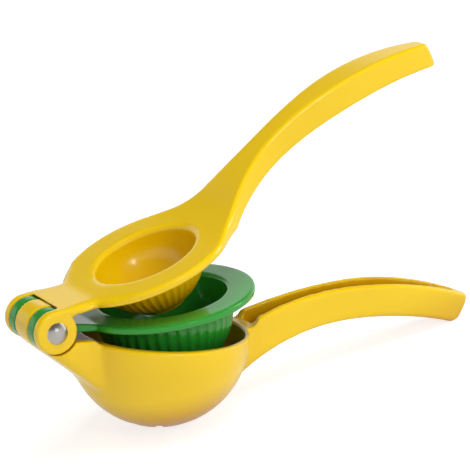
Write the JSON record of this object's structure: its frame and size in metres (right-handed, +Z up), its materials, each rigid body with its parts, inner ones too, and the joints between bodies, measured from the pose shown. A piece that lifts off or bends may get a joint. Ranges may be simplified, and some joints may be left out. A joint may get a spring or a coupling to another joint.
{
  "type": "hinged lemon squeezer",
  "caption": "Two lever arms and a cup between them on one riveted hinge; slotted bowl and fluted cups press a citrus half when the handles close.",
  "frame": {"origin": "centre of the flat land under the bowl, on the surface that the squeezer stands on", "axes": "+X along the lower handle, from the hinge to its tip; +Y along the hinge axis; +Z up"},
  "size_m": [0.2056, 0.0766, 0.1241],
  "materials": {
    "yellow_enamel": "glossy enamel on cast aluminium",
    "green_enamel": "glossy enamel on cast aluminium",
    "rivet_steel": "polished, bare"
  },
  "bodies": {
    "lower_arm": {"lower_arm": "yellow_enamel"},
    "lime_cup": {"lime_cup": "green_enamel"},
    "upper_arm": {"upper_arm": "yellow_enamel", "hinge_rivet": "rivet_steel"}
  },
  "joints": [
    {"name": "lime_cup_hinge", "type": "hinge", "parent": "lower_arm", "child": "lime_cup", "pos_m": [-0.04958, 0, 0.05894], "axis": [0, -1, 0], "range_deg": [-11.7, 68.3]},
    {"name": "upper_arm_hinge", "type": "hinge", "parent": "lime_cup", "child": "upper_arm", "pos_m": [-0.04958, 0, 0.05894], "axis": [0, -1, 0], "range_deg": [-14.2, 65.8]}
  ]
}
